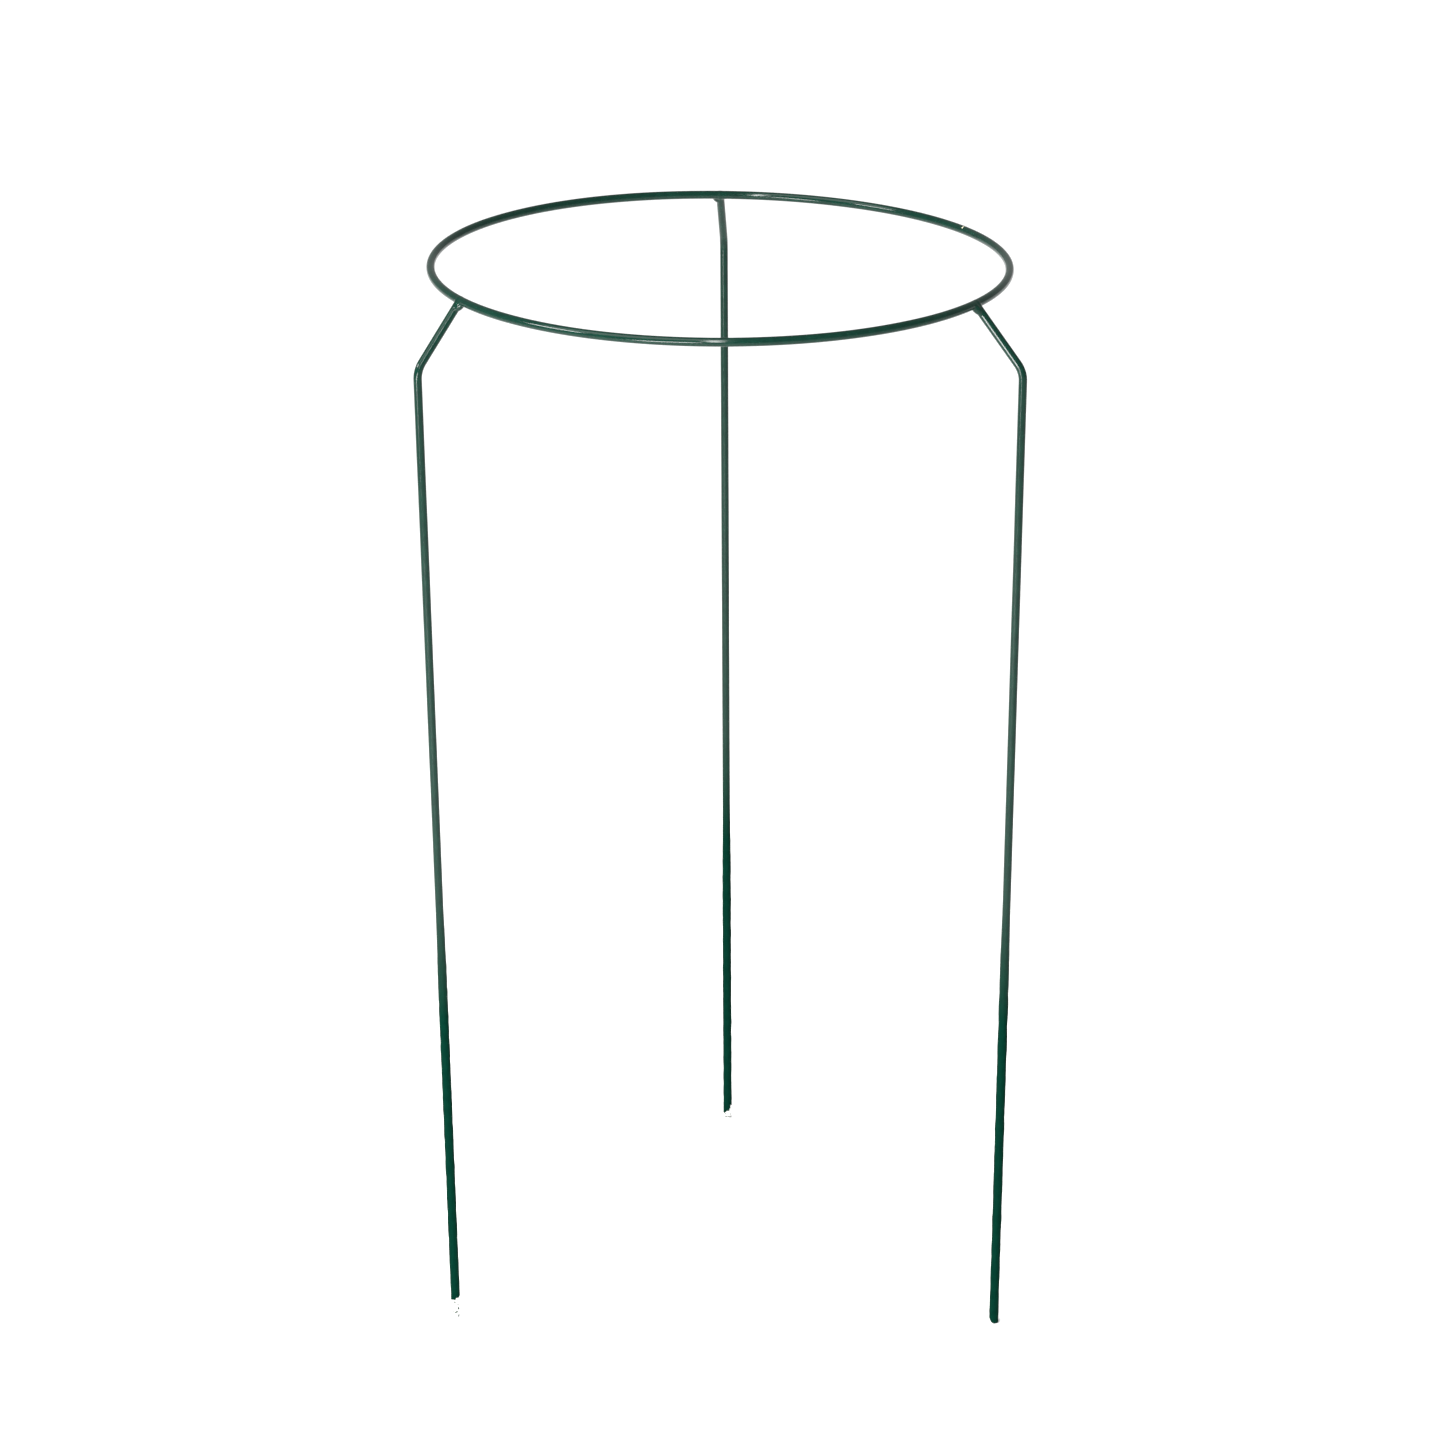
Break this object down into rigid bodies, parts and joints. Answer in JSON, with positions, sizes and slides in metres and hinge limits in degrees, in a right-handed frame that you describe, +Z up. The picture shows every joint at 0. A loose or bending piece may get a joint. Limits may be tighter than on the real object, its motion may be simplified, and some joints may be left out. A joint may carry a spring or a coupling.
{
  "type": "round plant support",
  "caption": "Free-standing round plant support: a ring of plastic-coated steel wire welded to cranked wire stake legs.",
  "frame": {"origin": "on the ring's axis, at the level of the tips of the legs", "axes": "+Z up along the ring's axis; the back leg is near +Y, the two front legs about 120 degrees either side of it"},
  "size_m": [0.4055, 0.4336, 0.75],
  "materials": {
    "steel_wire": "satin",
    "weld_metal": "rough",
    "green_coat": "gloss"
  },
  "bodies": {
    "root": {"ring_wire": "steel_wire", "ring_butt_weld": "weld_metal", "ring_coating": "green_coat", "leg_wire_back": "steel_wire", "leg_weld_back": "weld_metal", "joint_coating_back": "green_coat", "leg_coating_back": "green_coat", "leg_wire_left": "steel_wire", "leg_weld_left": "weld_metal", "joint_coating_left": "green_coat", "leg_coating_left": "green_coat", "leg_wire_right": "steel_wire", "leg_weld_right": "weld_metal", "joint_coating_right": "green_coat", "leg_coating_right": "green_coat"}
  },
  "joints": []
}
